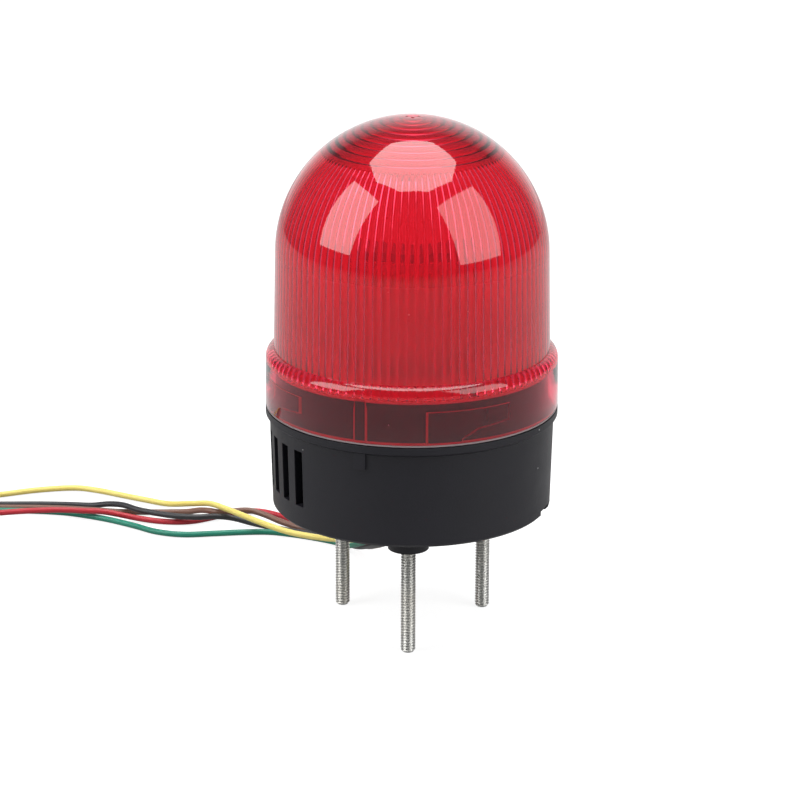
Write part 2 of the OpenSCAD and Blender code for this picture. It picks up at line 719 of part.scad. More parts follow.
// Joins sections with equal numbers of points into one solid
module tube(rings) {
    n = len(rings[0]);
    last = (len(rings) - 1) * n;
    sides = [for (i = [0 : len(rings) - 2]) for (k = [0 : n - 1])
        let (a = i * n + k, b = i * n + (k + 1) % n)
        each [[a, b, a + n], [b, b + n, a + n]]];
    polyhedron([for (r = rings) each r],
        concat(sides, [[for (k = [n - 1 : -1 : 0]) k]], [[for (k = [0 : n - 1]) last + k]]));
}

// A lead from the main board, straight out through the grommet, along its route to its bare end
module lead(angle, route) {
    x = exit_r * cos(angle);
    y = exit_r * sin(angle);
    path = concat([[x, y, board_z]], [for (p = first_bend) [x, y, 0] + p], route);
    end = len(path) - 1;
    tip = concat(path, [path[end] + bare_len * tangent(path, end)]);
    tube(concat([for (i = [0 : end]) ring(path, i, wire_d / 2)],
        [ring(path, end, core_d / 2)], [ring(tip, end + 1, core_d / 2)]));
}

module wire_yellow() color([0.92, 0.85, 0.45]) lead(wire_angles[0], route_yellow);
module wire_brown() color([0.4, 0.26, 0.2]) lead(wire_angles[1], route_brown);
module wire_black() color([0.12, 0.12, 0.13]) lead(wire_angles[2], route_black);
module wire_red() color([0.7, 0.12, 0.18]) lead(wire_angles[3], route_red);
module wire_green() color([0.1, 0.45, 0.36]) lead(wire_angles[4], route_green);

lens();
base_housing();
seal_ring();
deck_plate();
deck_screws();
led_mast();
mast_screws();
mast_terminal();
mast_leads();
led_board(0);  // led_board_front
led_board(90);  // led_board_right
led_board(180);  // led_board_back
led_board(270);  // led_board_left
led_emitters(0);  // led_emitters_front
led_emitters(90);  // led_emitters_right
led_emitters(180);  // led_emitters_back
led_emitters(270);  // led_emitters_left
main_board();
board_screws();
sounder();
capacitor();
regulator();
cable_grommet();
stud(0);  // stud_front
stud(120);  // stud_right
stud(240);  // stud_left
wire_yellow();
wire_brown();
wire_black();
wire_red();
wire_green();
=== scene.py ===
"""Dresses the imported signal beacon: a clear red fluted dome on a black sounder base, with flying leads."""
import math

import bmesh
import bpy
from mathutils import Matrix, Vector


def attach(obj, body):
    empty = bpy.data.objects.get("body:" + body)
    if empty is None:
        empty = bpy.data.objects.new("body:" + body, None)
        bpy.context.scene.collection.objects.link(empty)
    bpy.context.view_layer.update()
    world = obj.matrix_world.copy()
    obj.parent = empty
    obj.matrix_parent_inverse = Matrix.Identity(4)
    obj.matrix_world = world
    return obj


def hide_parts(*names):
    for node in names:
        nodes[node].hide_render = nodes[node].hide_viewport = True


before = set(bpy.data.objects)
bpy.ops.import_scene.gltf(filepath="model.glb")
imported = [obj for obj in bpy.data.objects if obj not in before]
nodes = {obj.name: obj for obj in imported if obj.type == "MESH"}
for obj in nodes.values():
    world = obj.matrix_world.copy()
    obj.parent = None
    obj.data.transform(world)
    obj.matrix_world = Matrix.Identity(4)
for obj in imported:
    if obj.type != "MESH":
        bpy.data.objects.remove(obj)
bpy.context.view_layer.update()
scene = bpy.context.scene
MM = 0.001

# Camera, fitted to the outline in the photograph
CAMERA_PLACE = (0.03029, -0.93465, 0.34252)
CAMERA_TURN = math.radians(2.097)
CAMERA_TILT = math.radians(72.198)
CAMERA_ROLL = math.radians(0.155)
CAMERA_LENS = 131.6
CAMERA_SENSOR = 36.0

# Heights and radii of the beacon in millimetres, as in the CAD model
FLOOR_Z = -37.0
BOARD_Z = 18.0
RIM_Z = 42.4
BORE_TOP_Z = 57.0
SKIRT_Z = 58.3
DOME_Z = 93.8
SKIRT_R = 49.0
SKIRT_TOP_R = 48.8
SHOULDER_R = 3.4
BORE_R = 46.4
TRACK_R = 47.9
DOME_R = 45.4
DOME_FOOT_R = 46.2
DOME_BORE_R = 43.2


def make_camera():
    data = bpy.data.cameras.new("camera")
    data.lens = CAMERA_LENS
    data.sensor_width = CAMERA_SENSOR
    camera = bpy.data.objects.new("camera", data)
    camera.matrix_world = (
        Matrix.Translation(CAMERA_PLACE)
        @ Matrix.Rotation(CAMERA_TURN, 4, "Z")
        @ Matrix.Rotation(CAMERA_TILT, 4, "X")
        @ Matrix.Rotation(CAMERA_ROLL, 4, "Z")
    )
    scene.collection.objects.link(camera)
    scene.camera = camera


make_camera()

# Shader helpers. Noise mostly lies between the two noise values; the Mix node's colour sockets go by number
NOISE_LOW, NOISE_HIGH = 0.3, 0.7
MIX_FIRST, MIX_SECOND, MIX_RESULT = 6, 7, 2


def new_tree(name):
    """A material with an empty node tree, the tree and its output node."""
    material = bpy.data.materials.new(name)
    material.use_nodes = True
    tree = material.node_tree
    tree.nodes.clear()
    return material, tree, tree.nodes.new("ShaderNodeOutputMaterial")


def new_material(name):
    """A material, its tree and a Principled shader that is already wired up."""
    material, tree, output = new_tree(name)
    shader = tree.nodes.new("ShaderNodeBsdfPrincipled")
    tree.links.new(shader.outputs["BSDF"], output.inputs["Surface"])
    return material, tree, shader


def add_node(tree, kind, values=None, **settings):
    """A node with its settings and its unlinked input values."""
    made = tree.nodes.new(kind)
    for key, value in settings.items():
        setattr(made, key, value)
    for key, value in (values or {}).items():
        made.inputs[key].default_value = value
    return made


def feed(tree, socket, value):
    """Links an input to another socket, or sets it to a plain value."""
    if isinstance(value, bpy.types.NodeSocket):
        tree.links.new(value, socket)
    else:
        socket.default_value = value


def math_node(tree, operation, *values):
    """Result of a Math node, from sockets or plain numbers."""
    made = add_node(tree, "ShaderNodeMath", operation=operation)
    for socket, value in zip(made.inputs, values):
        feed(tree, socket, value)
    return made.outputs[0]


def map_range(tree, value, start, end, low=0.0, high=1.0):
    """Maps a socket from start..end to low..high, and holds it at both ends."""
    made = add_node(tree, "ShaderNodeMapRange",
                    {"From Min": start, "From Max": end, "To Min": low, "To Max": high})
    tree.links.new(value, made.inputs["Value"])
    return made.outputs["Result"]


def spread_noise(tree, noise, low=0.0, high=1.0):
    """Maps noise to a range that it then fills."""
    return map_range(tree, noise, NOISE_LOW, NOISE_HIGH, low, high)


def mix_colours(tree, mask, first, second):
    """Mixes two colours, each a plain colour or a socket, by a mask."""
    made = add_node(tree, "ShaderNodeMix", data_type="RGBA")
    tree.links.new(mask, made.inputs["Factor"])
    for index, colour in ((MIX_FIRST, first), (MIX_SECOND, second)):
        feed(tree, made.inputs[index], (*colour, 1.0) if isinstance(colour, tuple) else colour)
    return made.outputs[MIX_RESULT]


def vertex_mask(tree, name):
    """A value between 0 and 1 that the mesh carries on its vertices."""
    return add_node(tree, "ShaderNodeAttribute", attribute_name=name).outputs["Fac"]


def object_coordinates(tree):
    return add_node(tree, "ShaderNodeTexCoord").outputs["Object"]


# Surface effects that several finishes share
GRAIN_SCALE = 1500.0


def new_group(name, inputs, outputs):
    """An empty shader node group with a place, float inputs and float outputs."""
    group = bpy.data.node_groups.new(name, "ShaderNodeTree")
    group.interface.new_socket("Vector", in_out="INPUT", socket_type="NodeSocketVector")
    for label, value in inputs.items():
        socket = group.interface.new_socket(label, in_out="INPUT", socket_type="NodeSocketFloat")
        socket.default_value = value
    for label in outputs:
        group.interface.new_socket(label, in_out="OUTPUT", socket_type="NodeSocketFloat")
    return group, group.nodes.new("NodeGroupInput"), group.nodes.new("NodeGroupOutput")


def make_grain_group():
    """Spark-eroded mould grain: a height for Bump and a slow patchiness."""
    group, given, result = new_group("mould_grain", {"Scale": GRAIN_SCALE}, ["Height", "Patches"])
    fine = add_node(group, "ShaderNodeTexNoise", {"Detail": 3.0, "Roughness": 0.6})
    slow = add_node(group, "ShaderNodeTexNoise", {"Scale": 60.0, "Detail": 4.0, "Roughness": 0.55})
    group.links.new(given.outputs["Vector"], fine.inputs["Vector"])
    group.links.new(given.outputs["Scale"], fine.inputs["Scale"])
    group.links.new(given.outputs["Vector"], slow.inputs["Vector"])
    group.links.new(fine.outputs["Fac"], result.inputs["Height"])
    group.links.new(slow.outputs["Fac"], result.inputs["Patches"])
    return group


def make_dust_group():
    """Sparse specks of dust, as a mask."""
    group, given, result = new_group("dust_specks", {"Scale": 260.0, "Size": 0.06, "Share": 0.1}, ["Mask"])
    cells = add_node(group, "ShaderNodeTexVoronoi", feature="F1")
    split = add_node(group, "ShaderNodeSeparateColor")
    group.links.new(given.outputs["Vector"], cells.inputs["Vector"])
    group.links.new(given.outputs["Scale"], cells.inputs["Scale"])
    group.links.new(cells.outputs["Color"], split.inputs["Color"])
    near = math_node(group, "LESS_THAN", cells.outputs["Distance"], given.outputs["Size"])
    chosen = math_node(group, "LESS_THAN", split.outputs["Red"], given.outputs["Share"])
    group.links.new(math_node(group, "MULTIPLY", near, chosen), result.inputs["Mask"])
    return group


GRAIN = make_grain_group()
DUST = make_dust_group()


def place_group(tree, group, values=None):
    """A group in a material, with its own values."""
    made = add_node(tree, "ShaderNodeGroup", values, node_tree=group)
    tree.links.new(object_coordinates(tree), made.inputs["Vector"])
    return made


# Finishes
EDGE_RADIUS = 0.0002
EDGE_SAMPLES = 6
GRAIN_DEPTH = 0.00004
DUST_GREY = (0.5, 0.5, 0.5)
PLASTIC_UNEVEN = 0.06
METAL_UNEVEN = 0.05
LENS_IOR = 1.58
LENS_TINTS = ((0.77, 0.048, 0.1), (0.79, 0.052, 0.11))
LENS_SPECKS = {"Scale": 160.0, "Size": 0.05, "Share": 0.12}
LENS_POLISH = 0.015
SPECK_ROUGHNESS = 0.35
FROST_ROUGHNESS = 0.34


def bump(tree, height, distance, shader):
    """Bumps the surface by a height, over edges that are rounded off."""
    made = add_node(tree, "ShaderNodeBump", {"Distance": distance})
    rounded = add_node(tree, "ShaderNodeBevel", {"Radius": EDGE_RADIUS}, samples=EDGE_SAMPLES)
    tree.links.new(rounded.outputs["Normal"], made.inputs["Normal"])
    tree.links.new(height, made.inputs["Height"])
    tree.links.new(made.outputs["Normal"], shader.inputs["Normal"])


def moulded_plastic(name, colour, paler, roughness, grain_scale=GRAIN_SCALE, depth=GRAIN_DEPTH, dust=0.0,
                    shine=0.5):
    """A moulded or rubber surface: grain, slow patches in colour and gloss, and some dust."""
    material, tree, shader = new_material(name)
    shader.inputs["Specular IOR Level"].default_value = shine
    grain = place_group(tree, GRAIN, {"Scale": grain_scale})
    patches = grain.outputs["Patches"]
    body = mix_colours(tree, spread_noise(tree, patches), colour, paler)
    if dust:
        specks = place_group(tree, DUST, {"Share": dust})
        body = mix_colours(tree, specks.outputs["Mask"], body, DUST_GREY)
    tree.links.new(body, shader.inputs["Base Color"])
    gloss = spread_noise(tree, patches, roughness - PLASTIC_UNEVEN, roughness + PLASTIC_UNEVEN)
    tree.links.new(gloss, shader.inputs["Roughness"])
    bump(tree, grain.outputs["Height"], depth, shader)
    return material


def bare_metal(name, colour, stained, roughness, valley_shade=None):
    """Plated steel or bare aluminium with slow stains, and painted shade: a darker colour in a thread's
    valleys.
    """
    material, tree, shader = new_material(name)
    shader.inputs["Metallic"].default_value = 1.0
    patches = place_group(tree, GRAIN).outputs["Patches"]
    body = mix_colours(tree, spread_noise(tree, patches), colour, stained)
    if valley_shade:
        # Painted shade: the thread's valleys take the darker valley colour through the crest mask.
        body = mix_colours(tree, vertex_mask(tree, "crest"), valley_shade, body)
    tree.links.new(body, shader.inputs["Base Color"])
    gloss = spread_noise(tree, patches, roughness - METAL_UNEVEN, roughness + METAL_UNEVEN)
    tree.links.new(gloss, shader.inputs["Roughness"])
    return material


def clear_red():
    """Clear red moulded lens: glossy, with a few specks that dull it, and matt where it is frosted."""
    material, tree, shader = new_material("lens_red")
    shader.inputs["Transmission Weight"].default_value = 1.0
    shader.inputs["IOR"].default_value = LENS_IOR
    patches = place_group(tree, GRAIN).outputs["Patches"]
    tree.links.new(mix_colours(tree, spread_noise(tree, patches), *LENS_TINTS), shader.inputs["Base Color"])
    specks = place_group(tree, DUST, LENS_SPECKS)
    dull = map_range(tree, specks.outputs["Mask"], 0.0, 1.0, LENS_POLISH, SPECK_ROUGHNESS)
    matt = math_node(tree, "MULTIPLY_ADD", vertex_mask(tree, "frost"), FROST_ROUGHNESS, dull)
    tree.links.new(matt, shader.inputs["Roughness"])
    return material


LENS_RED = clear_red()
LENS_EDGE = moulded_plastic("lens_edge", (0.62, 0.075, 0.105), (0.68, 0.1, 0.135), 0.55)
BASE_BLACK = moulded_plastic("base_black", (0.0066, 0.0062, 0.0104), (0.0088, 0.0084, 0.0134), 0.5,
                             dust=0.1, shine=0.42)
SEAL_PALE = moulded_plastic("seal_pale", (0.3, 0.24, 0.25), (0.36, 0.29, 0.3), 0.6)
DECK_WHITE = moulded_plastic("deck_white", (0.92, 0.92, 0.91), (0.94, 0.94, 0.93), 0.45)
LAMP_BOARD_WHITE = moulded_plastic("lamp_board_white", (0.87, 0.87, 0.86), (0.9, 0.9, 0.89), 0.4)
GROMMET_BLACK = moulded_plastic("grommet_black", (0.012, 0.012, 0.012), (0.02, 0.02, 0.02), 0.65)
SOUNDER_BLACK = moulded_plastic("sounder_black", (0.012, 0.012, 0.013), (0.02, 0.02, 0.02), 0.5)
CAPACITOR_BLUE = moulded_plastic("capacitor_blue", (0.02, 0.03, 0.09), (0.03, 0.04, 0.12), 0.3)
REGULATOR_BLACK = moulded_plastic("regulator_black", (0.02, 0.02, 0.02), (0.03, 0.03, 0.03), 0.45)
TERMINAL_CREAM = moulded_plastic("terminal_cream", (0.7, 0.7, 0.6), (0.78, 0.78, 0.68), 0.45)
LAMP_WHITE = moulded_plastic("lamp_white", (0.8, 0.72, 0.35), (0.85, 0.8, 0.5), 0.3)
BOARD_GREEN = moulded_plastic("board_green", (0.01, 0.09, 0.03), (0.015, 0.12, 0.045), 0.35)
INNER_LEAD_WHITE = moulded_plastic("inner_lead_white", (0.7, 0.7, 0.7), (0.78, 0.78, 0.78), 0.5)
# The stud's last colour is painted shade for the thread's valleys.
STUD_ZINC = bare_metal("stud_zinc", (0.9, 0.9, 0.87), (0.84, 0.81, 0.74), 0.4, (0.55, 0.55, 0.535))
SCREW_ZINC = bare_metal("screw_zinc", (0.6, 0.6, 0.58), (0.52, 0.52, 0.5), 0.3)
MAST_ALUMINIUM = bare_metal("mast_aluminium", (0.75, 0.76, 0.77), (0.66, 0.67, 0.68), 0.35)
TINNED_CORE = bare_metal("tinned_core", (0.7, 0.69, 0.66), (0.6, 0.56, 0.5), 0.3)
LEAD_COLOURS = {
    "yellow": ((0.82, 0.66, 0.16), (0.88, 0.74, 0.22)),
    "brown": ((0.16, 0.075, 0.05), (0.2, 0.1, 0.07)),
    "black": ((0.022, 0.022, 0.025), (0.032, 0.032, 0.036)),
    "red": ((0.45, 0.018, 0.03), (0.52, 0.026, 0.042)),
    "green": ((0.012, 0.2, 0.13), (0.018, 0.25, 0.165)),
}
LEAD_FINISHES = {
    name: moulded_plastic("wire_" + name, plain, paler, 0.42, grain_scale=900.0, depth=0.00003)
    for name, (plain, paler) in LEAD_COLOURS.items()
}

# Mesh helpers, all in millimetres
MERGE_DIST = 0.0005


def new_piece(name, bm, materials, body, replaced=(), *, sharp):
    """Turns a bmesh in millimetres into a smooth-shaded piece that rides on a body."""
    bmesh.ops.scale(bm, vec=(MM, MM, MM), verts=bm.verts)
    mesh = bpy.data.meshes.new(name)
    bm.to_mesh(mesh)
    bm.free()
    mesh.polygons.foreach_set("use_smooth", [True] * len(mesh.polygons))
    mesh.set_sharp_from_angle(angle=math.radians(sharp))
    for material in materials:
        mesh.materials.append(material)
    piece = bpy.data.objects.new(name, mesh)
    scene.collection.objects.link(piece)
    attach(piece, body)
    if replaced:
        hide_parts(*replaced)
    return piece


def profile_edges(bm, points):
    """A line of vertices and edges in the XZ plane through (radius, height) points."""
    verts = [bm.verts.new((radius, 0.0, height)) for radius, height in points]
    edges = [bm.edges.new(pair) for pair in zip(verts, verts[1:])]
    return verts, edges


def everything(bm):
    return bm.verts[:] + bm.edges[:] + bm.faces[:]


def double(bm, matrix):
    """Adds a moved copy of all there is."""
    copy = bmesh.ops.duplicate(bm, geom=everything(bm))["geom"]
    verts = [item for item in copy if isinstance(item, bmesh.types.BMVert)]
    bmesh.ops.transform(bm, matrix=matrix, verts=verts)


def spin_full(bm, steps):
    """A full turn of a profile about the Z axis, made as a quarter and its copies, with its poles closed."""
    bmesh.ops.spin(bm, geom=bm.verts[:] + bm.edges[:], cent=(0, 0, 0), axis=(0, 0, 1), dvec=(0, 0, 0),
                   angle=math.pi / 2, steps=steps // 4)
    for turn in (90, 180):
        double(bm, Matrix.Rotation(math.radians(turn), 4, "Z"))
    bmesh.ops.remove_doubles(bm, verts=bm.verts, dist=MERGE_DIST)
    bmesh.ops.recalc_face_normals(bm, faces=bm.faces)


def fill_ends(bm):
    """Closes the open ends."""
    bmesh.ops.holes_fill(bm, edges=[edge for edge in bm.edges if edge.is_boundary], sides=0)


def arc(centre, radius, start, end, steps):
    """Points of an arc in the (radius, height) plane, by angles from the horizontal in degrees."""
    return [
        (centre[0] + radius * math.cos(a), centre[1] + radius * math.sin(a))
        for a in (math.radians(start + (end - start) * i / steps) for i in range(steps + 1))
    ]


# Flying leads, along the CAD model's routes in millimetres; only their length is in metres
LEAD_D = 2.2
LEAD_ROUND_STEPS = 6
LEAD_CURVE_STEPS = 6
EXIT_R = 3.4
EXIT_ANGLES = {"yellow": 199, "brown": 343, "black": 271, "red": 55, "green": 127}
BARE_LENGTH = 7.0
CORE_D = 1.2
CORE_STRANDS = 7
STRAND_STEPS = 6
CORE_GROOVE = 0.14
CORE_STEPS = 24
CORE_TWIST = math.radians(200)
FIRST_BEND = [(0, 0, 1.5), (-0.8, 2.2, -4), (-3.2, 8.5, -9.2)]
ROUTES = {
    "yellow": [
        (-13, 19, -14.5), (-19, 32, -20), (-25, 45, -25), (-30, 55, -28.6), (-38, 62.5, -30.6),
        (-47, 69, -31.4), (-56, 76, -31.2), (-65, 83.5, -30.6), (-73, 91, -30.4), (-79, 97, -30.9),
        (-86, 102.5, -33), (-96, 109, -35.6), (-105, 113.5, -35.8), (-115, 118.5, -35.8),
        (-125, 123.5, -35.8), (-134, 126, -35.8), (-148, 123, -35.8), (-162, 117, -35.8),
        (-176, 112, -35.8), (-190, 109, -35.8), (-204, 108, -35.8)],
    "brown": [
        (-1, 12.5, -13), (-4.5, 22.5, -16.5), (-9.5, 36, -22.5), (-14, 49, -28.5), (-19, 61.5, -33.5),
        (-26, 74.5, -35.7), (-31, 79, -35.8), (-38, 82.6, -35.8), (-45, 86, -35.7), (-52, 90.5, -35.2),
        (-58, 94.5, -34.2), (-64, 96.7, -33.3), (-70, 95.5, -33.2), (-75, 94, -33.2), (-79, 95.5, -33.2),
        (-83, 98, -34), (-88, 100, -35.4), (-96, 100.3, -35.8), (-106, 100, -35.8), (-114, 100, -35.8),
        (-124, 101.5, -35.8), (-136, 102.8, -35.8), (-148, 103, -35.8), (-162, 102.6, -35.8),
        (-176, 102, -35.8), (-190, 101.5, -35.8), (-203, 101, -35.8)],
    "black": [
        (-8.5, 21, -16.5), (-13.5, 35, -23), (-17.6, 49.4, -29), (-22.6, 62.2, -33.8), (-30, 74, -35.7),
        (-39, 78.8, -35.8), (-48, 82.3, -35.8), (-56, 86.3, -35.8), (-63, 89.5, -35.5), (-70, 91, -34.3),
        (-76, 90, -33.4), (-82, 88.3, -33.2), (-88, 88.5, -33.2), (-94, 90, -33.2), (-100, 92.5, -33.2),
        (-106, 95.5, -33.2), (-112, 99.7, -33), (-118, 103.4, -34), (-125, 106, -35.6),
        (-134, 107, -35.8), (-146, 107, -35.8), (-160, 106.2, -35.8), (-174, 105.6, -35.8),
        (-188, 105.2, -35.8), (-201, 105, -35.8)],
    "red": [
        (-2, 26, -16), (-6, 39, -22.5), (-10, 52, -28.5), (-14.5, 64, -33.2), (-21, 75.5, -35.6),
        (-27, 82, -35.8), (-34, 86, -35.8), (-41, 89.3, -35.8), (-47, 93.3, -35.8), (-53, 98.5, -35.8),
        (-60, 102.5, -35.8), (-66, 102.8, -35.8), (-72, 99.8, -35.8), (-78, 95.2, -35.8),
        (-84, 91.3, -35.8), (-90, 89.8, -35.8), (-98, 90.5, -35.8), (-106, 92.3, -35.4), (-113, 93, -34.3),
        (-119, 93, -33.3), (-126, 93.3, -33.2), (-136, 93.8, -33.2), (-148, 93.5, -33.7),
        (-160, 92.8, -34.6), (-172, 92.2, -35.6), (-185, 91.8, -35.8), (-198, 91.5, -35.8)],
    "green": [
        (-10, 23, -15), (-15.5, 36, -21.5), (-20.5, 49, -28), (-25.5, 61, -33.2), (-31, 71, -35.6),
        (-39, 75.5, -35.8), (-47, 78.5, -35.8), (-55, 80.5, -35.8), (-64, 80, -35.8), (-76, 78, -35.8),
        (-87, 76.5, -35.8), (-97, 79, -35.8), (-106, 85, -35.8), (-116, 91, -35.8), (-125, 95, -35.8),
        (-134, 98, -35.8), (-146, 99.3, -35.8), (-160, 99.3, -35.8), (-174, 98.8, -35.8),
        (-188, 98.2, -35.8), (-200, 97.8, -35.8), (-212, 97.4, -35.8)],
}


def lead_points(name):
    """A lead's points from the board, through the grommet and along its route."""
    angle = math.radians(EXIT_ANGLES[name])
    hole = Vector((EXIT_R * math.cos(angle), EXIT_R * math.sin(angle), 0))
    inside = [hole + Vector((0, 0, BOARD_Z))] + [hole + Vector(point) for point in FIRST_BEND]
    return inside + [Vector(point) for point in ROUTES[name]]


def smooth_spline(curve, points):
    """One Bezier spline through the points, with handles along the chord from neighbour to neighbour."""
    spline = curve.splines.new("BEZIER")
    spline.bezier_points.add(len(points) - 1)
    for i, (knot, here) in enumerate(zip(spline.bezier_points, points)):
        before = points[max(i - 1, 0)]
        after = points[min(i + 1, len(points) - 1)]
        along = (after - before).normalized()
        knot.handle_left_type = knot.handle_right_type = "FREE"
        knot.co = here * MM
        knot.handle_left = (here - along * (here - before).length / 3) * MM
        knot.handle_right = (here + along * (after - here).length / 3) * MM


def make_core(name, points):
    """The bare end of a lead: a twisted bundle of tinned strands."""
    along = (points[-1] - points[-2]).normalized()
    bm = bmesh.new()
    bmesh.ops.create_circle(bm, segments=STRAND_STEPS * CORE_STRANDS, radius=CORE_D / 2)
    for vert in bm.verts:
        angle = math.atan2(vert.co.y, vert.co.x)
        vert.co *= 1.0 - CORE_GROOVE + CORE_GROOVE * abs(math.cos(CORE_STRANDS / 2 * angle))
    bmesh.ops.spin(bm, geom=bm.verts[:] + bm.edges[:], cent=(0, 0, 0), axis=(0, 0, 1),
                   dvec=(0, 0, BARE_LENGTH / CORE_STEPS), angle=CORE_TWIST, steps=CORE_STEPS)
    fill_ends(bm)
    bmesh.ops.recalc_face_normals(bm, faces=bm.faces)
    turn = Vector((0, 0, 1)).rotation_difference(along).to_matrix().to_4x4()
    bmesh.ops.transform(bm, matrix=Matrix.Translation(points[-1]) @ turn, verts=bm.verts)
    return new_piece("core_" + name, bm, [TINNED_CORE], "base", sharp=60)


def make_lead(name):
    points = lead_points(name)
    curve = bpy.data.curves.new("lead_" + name, "CURVE")
    curve.dimensions = "3D"
    curve.bevel_depth = LEAD_D / 2 * MM
    curve.bevel_resolution = LEAD_ROUND_STEPS
    curve.resolution_u = LEAD_CURVE_STEPS
    curve.use_fill_caps = True
    smooth_spline(curve, points)
    curve.materials.append(LEAD_FINISHES[name])
    lead = bpy.data.objects.new("lead_" + name, curve)
    scene.collection.objects.link(lead)
    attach(lead, "base")
    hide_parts("wire_" + name)
    core = make_core(name, points)


for lead_name in ROUTES:
    make_lead(lead_name)

# Outside of the lens: a gate mark at the apex, the dome, its wall, a shoulder and the skirt
GATE_PROFILE = [(0, 139.2), (0.5, 139.2), (0.65, 139.0), (2.3, 138.98), (2.5, 139.13)]
GATE_EDGE_ANGLE = 86.0
DOME_STEPS = 40
WALL_ROWS_Z = (84.0, 73.0, SKIRT_Z + 3.32)
SHOULDER_ANGLE = 77.0
SHOULDER_STEPS = 9
SKIRT_MIDDLE = (48.92, 50.0)
RIM_FOOT_Z = RIM_Z + 0.03
RIM_ROUND = [(SKIRT_R, RIM_Z + 0.35), (SKIRT_R - 0.1, RIM_Z + 0.12), (SKIRT_R - 0.35, RIM_FOOT_Z)]
DOME_SLOPE = (DOME_FOOT_R - DOME_R) / (DOME_Z - SKIRT_Z)

# Flutes up the wall and round the dome, and ring prisms over the cap
FLUTES = 100
FLUTE_STEPS = 6
FLUTE_DEPTH = 0.48
FLUTE_ROWS_Z = (BORE_TOP_Z, 58.0, 66.0, 76.0, 86.0)
FLUTE_DOME_STEPS = 16
LEDGE_INSETS = (0.3, 1.3)
LEDGE_RISE = 0.45
LEDGE_Z = BORE_TOP_Z + LEDGE_RISE
LEDGE_MARGIN = 0.1
RING_ZONE = 41.8
RING_START = RING_ZONE - 0.7
RINGS = 10
RING_DEPTH = 0.35
RING_MIDDLE = 0.3
RING_FLAT = 0.6
RING_CREST = 0.8

# How matt the inside is: fully on the wall, fading at the foot of the dome, and less on the ledge and the rings
FROST_TOP_Z = DOME_Z + 6.0
FROST_FADE = 8.0
LEDGE_FROST = 0.4
RING_FROST = 0.55

# Bore of the skirt: bayonet tracks, each a mouth and a pocket over a rib, and the index groove, in degrees
BORE_ROWS = 7
RIM_CHAMFER = (0.45, 0.7)
TRACKS = 4
TRACK_SPACING = 90.0
TRACK_START = 7.8
TRACK_Z = 53.2
MOUTH_ANGLE = 14.0
POCKET_ANGLE = 21.2
RIB_Z = 45.9
RIB_RISE = 1.7
RAMP_ANGLE = 5.5
RAMP_H = 2.3
INDEX_ANGLE = 18.5
INDEX_W = 4.0
INDEX_HALF = math.degrees(math.asin(INDEX_W / 2 / BORE_R))
INDEX_DEPTH = 0.7
INDEX_TOP_Z = BORE_TOP_Z - 0.4
WALL_EDGE = 0.4
WALL_FACING = 0.8


def lens_outside():
    """(radius, height) points from the apex down to the rim."""
    top = arc((0, DOME_Z), DOME_R, GATE_EDGE_ANGLE, 0.0, DOME_STEPS)
    wall = [(DOME_R + (DOME_Z - z) * DOME_SLOPE, z) for z in WALL_ROWS_Z]
    shoulder = arc((SKIRT_TOP_R - SHOULDER_R, SKIRT_Z), SHOULDER_R, SHOULDER_ANGLE, 0.0, SHOULDER_STEPS)
    return GATE_PROFILE + top + wall + shoulder + [SKIRT_MIDDLE] + RIM_ROUND


def flute_rows():
    """Rows of the fluted zone, from the ledge and the foot of the wall to the ring prisms."""
    ledge = [(BORE_R - inset, LEDGE_Z) for inset in LEDGE_INSETS]
    wall = [(DOME_BORE_R + (DOME_Z - z) * DOME_SLOPE, z) for z in FLUTE_ROWS_Z]
    return ledge + wall + arc((0, DOME_Z), DOME_BORE_R, 0.0, 90.0 - RING_ZONE, FLUTE_DOME_STEPS)


def ring_rows():
    """Ring prisms over the cap, each a plain band and a ridge, ending on the axis."""
    rows = []
    step = RING_START / RINGS
    for i in range(RINGS):
        for share, depth in ((0.0, 0.0), (RING_MIDDLE, 0.0), (RING_FLAT, 0.0), (RING_CREST, RING_DEPTH)):
            angle = math.radians(RING_START - (i + share) * step)
            radius = DOME_BORE_R - depth
            rows.append((radius * math.sin(angle), DOME_Z + radius * math.cos(angle)))
    return rows + [(0, DOME_Z + DOME_BORE_R)]


def lenslet(angle):
    """Depth share of a flute at an angle: round ridges that meet in sharp valleys."""
    across = (angle / 360.0 * FLUTES) % 1.0
    return 1.0 - (2.0 * across - 1.0) ** 2


def rib_top(angle):
    """Top of the rib under a bayonet pocket, by the angle from its mouth: a lead-in, then a slope."""
    away = math.sin(math.radians(angle))
    slope = RIB_Z + RIB_RISE * away / math.sin(math.radians(POCKET_ANGLE))
    lead_in = RIB_Z - RAMP_H + RAMP_H * away / math.sin(math.radians(RAMP_ANGLE))
    return min(slope, lead_in)


def bore_column(angle):
    """Foot radius, rib height, recess radius and recess top of the bore at an angle from the front."""
    rib_end = rib_top(POCKET_ANGLE)
    if abs(angle + INDEX_ANGLE) < INDEX_HALF:
        return BORE_R + INDEX_DEPTH, rib_end, BORE_R + INDEX_DEPTH, INDEX_TOP_Z
    along = (angle - TRACK_START) % TRACK_SPACING
    if along < MOUTH_ANGLE:
        return TRACK_R, rib_top(0.0), TRACK_R, TRACK_Z
    if along < MOUTH_ANGLE + POCKET_ANGLE:
        return BORE_R, rib_top(along - MOUTH_ANGLE), TRACK_R, TRACK_Z
    return BORE_R, rib_end, BORE_R, TRACK_Z


def bore_point(row, angle):
    """(radius, height) of a row of the bore, from the rim upwards."""
    foot, rib, recess, top = bore_column(angle)
    return [
        (foot + RIM_CHAMFER[0], RIM_FOOT_Z), (foot, RIM_Z + RIM_CHAMFER[1]), (foot, rib),
        (recess, rib), (recess, top), (BORE_R, top), (BORE_R, BORE_TOP_Z)][row]


